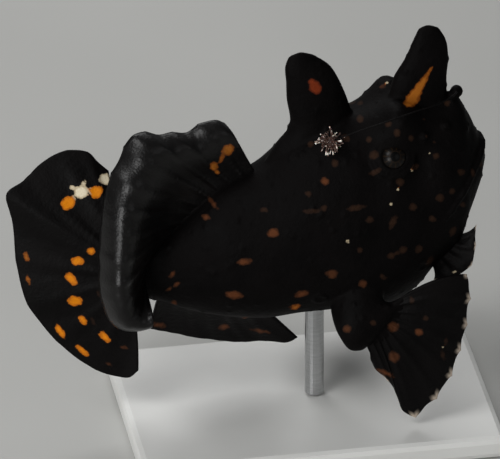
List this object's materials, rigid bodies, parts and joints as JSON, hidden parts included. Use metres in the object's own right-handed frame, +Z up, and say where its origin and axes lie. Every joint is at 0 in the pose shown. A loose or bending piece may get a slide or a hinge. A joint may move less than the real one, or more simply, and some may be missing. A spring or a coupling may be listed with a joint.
{
  "type": "painted frogfish model",
  "caption": "Still life-size model of a young black painted frogfish with orange spots, fins spread, on a plain white stand.",
  "frame": {"origin": "middle of the underside of the stand's base", "axes": "+X towards the fish's head, +Z up, the fish's right side towards -Y"},
  "size_m": [0.06, 0.0341, 0.0545],
  "materials": {
    "skin": "wet black fish skin with orange spots, slightly glossy",
    "eyes": "clear glossy lens over a dark iris",
    "stand_base": "plain white satin",
    "stand_rod": "fine brushed steel"
  },
  "bodies": {
    "root": {"head": "skin", "lower_jaw": "skin", "torso": "skin", "tail_stalk": "skin", "illicium": "skin", "dorsal_spine_2": "skin", "dorsal_spine_3": "skin", "dorsal_fin": "skin", "caudal_fin": "skin", "anal_fin": "skin", "arm_right": "skin", "arm_left": "skin", "pectoral_fin_right": "skin", "pectoral_fin_left": "skin", "pelvic_fin_right": "skin", "pelvic_fin_left": "skin", "eye_right": "eyes", "eye_left": "eyes", "stand_base": "stand_base", "stand_rod": "stand_rod"}
  },
  "joints": []
}
